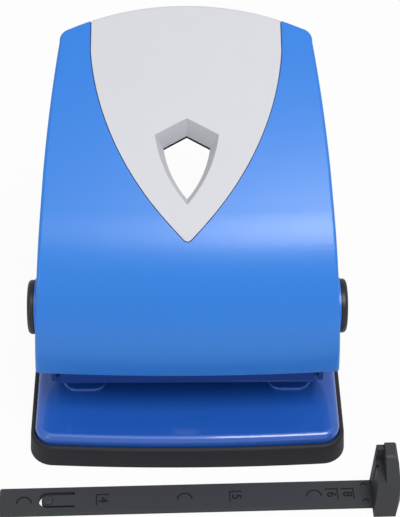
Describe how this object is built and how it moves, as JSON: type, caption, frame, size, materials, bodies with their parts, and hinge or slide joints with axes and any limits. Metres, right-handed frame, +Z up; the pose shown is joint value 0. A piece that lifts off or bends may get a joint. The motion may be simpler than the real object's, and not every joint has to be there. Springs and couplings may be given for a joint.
{
  "type": "two-hole paper punch",
  "caption": "Manual lever hole punch with sprung punches, folded steel frame, chip tray, windowed handle and sliding paper guide.",
  "frame": {"origin": "on the table, midway between the two punches' axes, in the underside of the base", "axes": "+Z up, +Y from the paper mouth to the back of the base, +X to the right seen from the mouth"},
  "size_m": [0.1378, 0.144, 0.1111],
  "materials": {
    "blue_plastic": "satin moulded blue",
    "blue_paint": "glossy blue enamel",
    "grey_plastic": "fine satin light grey",
    "black_plastic": "moulded black",
    "tray_plastic": "soft black moulding",
    "guide_plastic": "fine grained black",
    "nylon_black": "plain nylon",
    "steel_zinc": "zinc plated",
    "steel_hard": "ground and hardened",
    "spring_steel": "drawn spring wire"
  },
  "bodies": {
    "base": {"base_plate": "blue_paint", "punch_frame": "blue_paint", "frame_rivets": "steel_zinc", "die_bushings": "steel_hard", "upper_guide_plate": "steel_zinc", "pivot_axle": "steel_zinc", "axle_washers": "nylon_black", "pivot_cap_right": "black_plastic", "pivot_cap_left": "black_plastic", "return_spring_right": "spring_steel", "return_spring_left": "spring_steel"},
    "chip_tray": {"chip_tray": "tray_plastic"},
    "handle": {"lever_carrier": "steel_zinc", "carrier_screws": "steel_zinc", "press_bar": "steel_hard", "press_bar_clips": "spring_steel", "handle_shell": "blue_plastic", "handle_inlay": "grey_plastic", "handle_underpanel": "black_plastic"},
    "punch_right": {"punch_pin_right": "steel_hard", "spring_collar_right": "steel_zinc", "punch_clip_right": "spring_steel"},
    "punch_left": {"punch_pin_left": "steel_hard", "spring_collar_left": "steel_zinc", "punch_clip_left": "spring_steel"},
    "paper_guide": {"paper_guide": "guide_plastic"}
  },
  "joints": [
    {"name": "handle_hinge", "type": "hinge", "parent": "base", "child": "handle", "pos_m": [0, -0.01622, 0.0512], "axis": [-1, 0, 0], "range_deg": [0, 30], "stiffness_Nm_per_rad": 0.5, "springref_deg": -14.32},
    {"name": "punch_right_slide", "type": "slide", "parent": "base", "child": "punch_right", "axis": [0, 0, -1], "range_m": [0, 0.00864], "deforming": ["return_spring_right"]},
    {"name": "punch_left_slide", "type": "slide", "parent": "base", "child": "punch_left", "axis": [0, 0, -1], "range_m": [0, 0.00864], "deforming": ["return_spring_left"]},
    {"name": "chip_tray_slide", "type": "slide", "parent": "base", "child": "chip_tray", "axis": [0, 0, -1], "range_m": [0, 0.025]},
    {"name": "paper_guide_slide", "type": "slide", "parent": "base", "child": "paper_guide", "axis": [1, 0, 0], "range_m": [0, 0.0839]}
  ],
  "couplings": [
    {"joint": "punch_right_slide", "follows": "handle_hinge", "m_per_rad": 0.016312},
    {"joint": "punch_left_slide", "follows": "handle_hinge", "m_per_rad": 0.016312}
  ]
}
